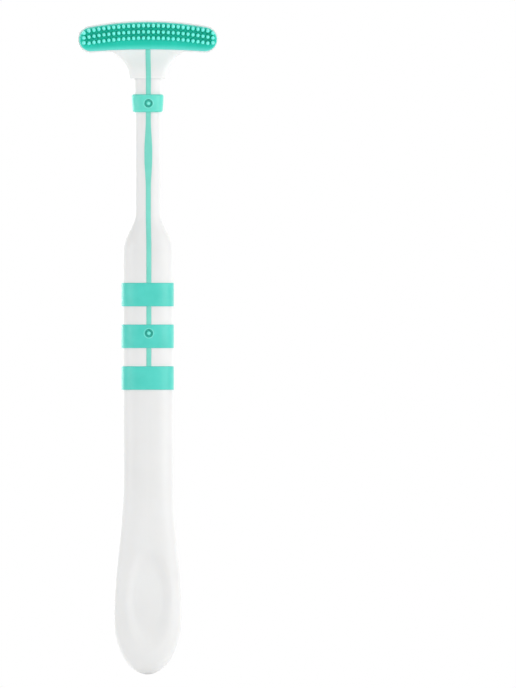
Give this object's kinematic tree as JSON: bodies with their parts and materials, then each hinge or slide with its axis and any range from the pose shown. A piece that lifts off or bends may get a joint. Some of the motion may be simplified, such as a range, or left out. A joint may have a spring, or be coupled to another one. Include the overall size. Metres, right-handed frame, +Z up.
{
  "type": "tongue scraper",
  "caption": "Double-sided tongue scraper: a white handle and T-shaped head, with soft nubs on the front of the head, soft scraping lips on its back, and soft bands round the neck and grip.",
  "frame": {"origin": "centre of the hand grip: on the handle's axis, at mid height of the middle grip band", "axes": "+Z up the handle to the head, -Y the nub side of the head, +Y the side with the scraping lips, X across the head"},
  "size_m": [0.0366, 0.0106, 0.17],
  "materials": {
    "white_plastic": "satin moulded polypropylene, opaque white",
    "mint_elastomer": "smooth soft thermoplastic elastomer, mint green"
  },
  "bodies": {
    "root": {"handle": "white_plastic", "head": "white_plastic", "bristle_pad": "mint_elastomer", "outer_scraper_lip": "mint_elastomer", "inner_scraper_lip": "mint_elastomer", "lip_anchor_plugs": "mint_elastomer", "neck_runner": "mint_elastomer", "neck_collar": "mint_elastomer", "stem_runner": "mint_elastomer", "grip_band_upper": "mint_elastomer", "grip_band_middle": "mint_elastomer", "grip_band_lower": "mint_elastomer", "band_runner_upper": "mint_elastomer", "band_runner_lower": "mint_elastomer"}
  },
  "joints": []
}
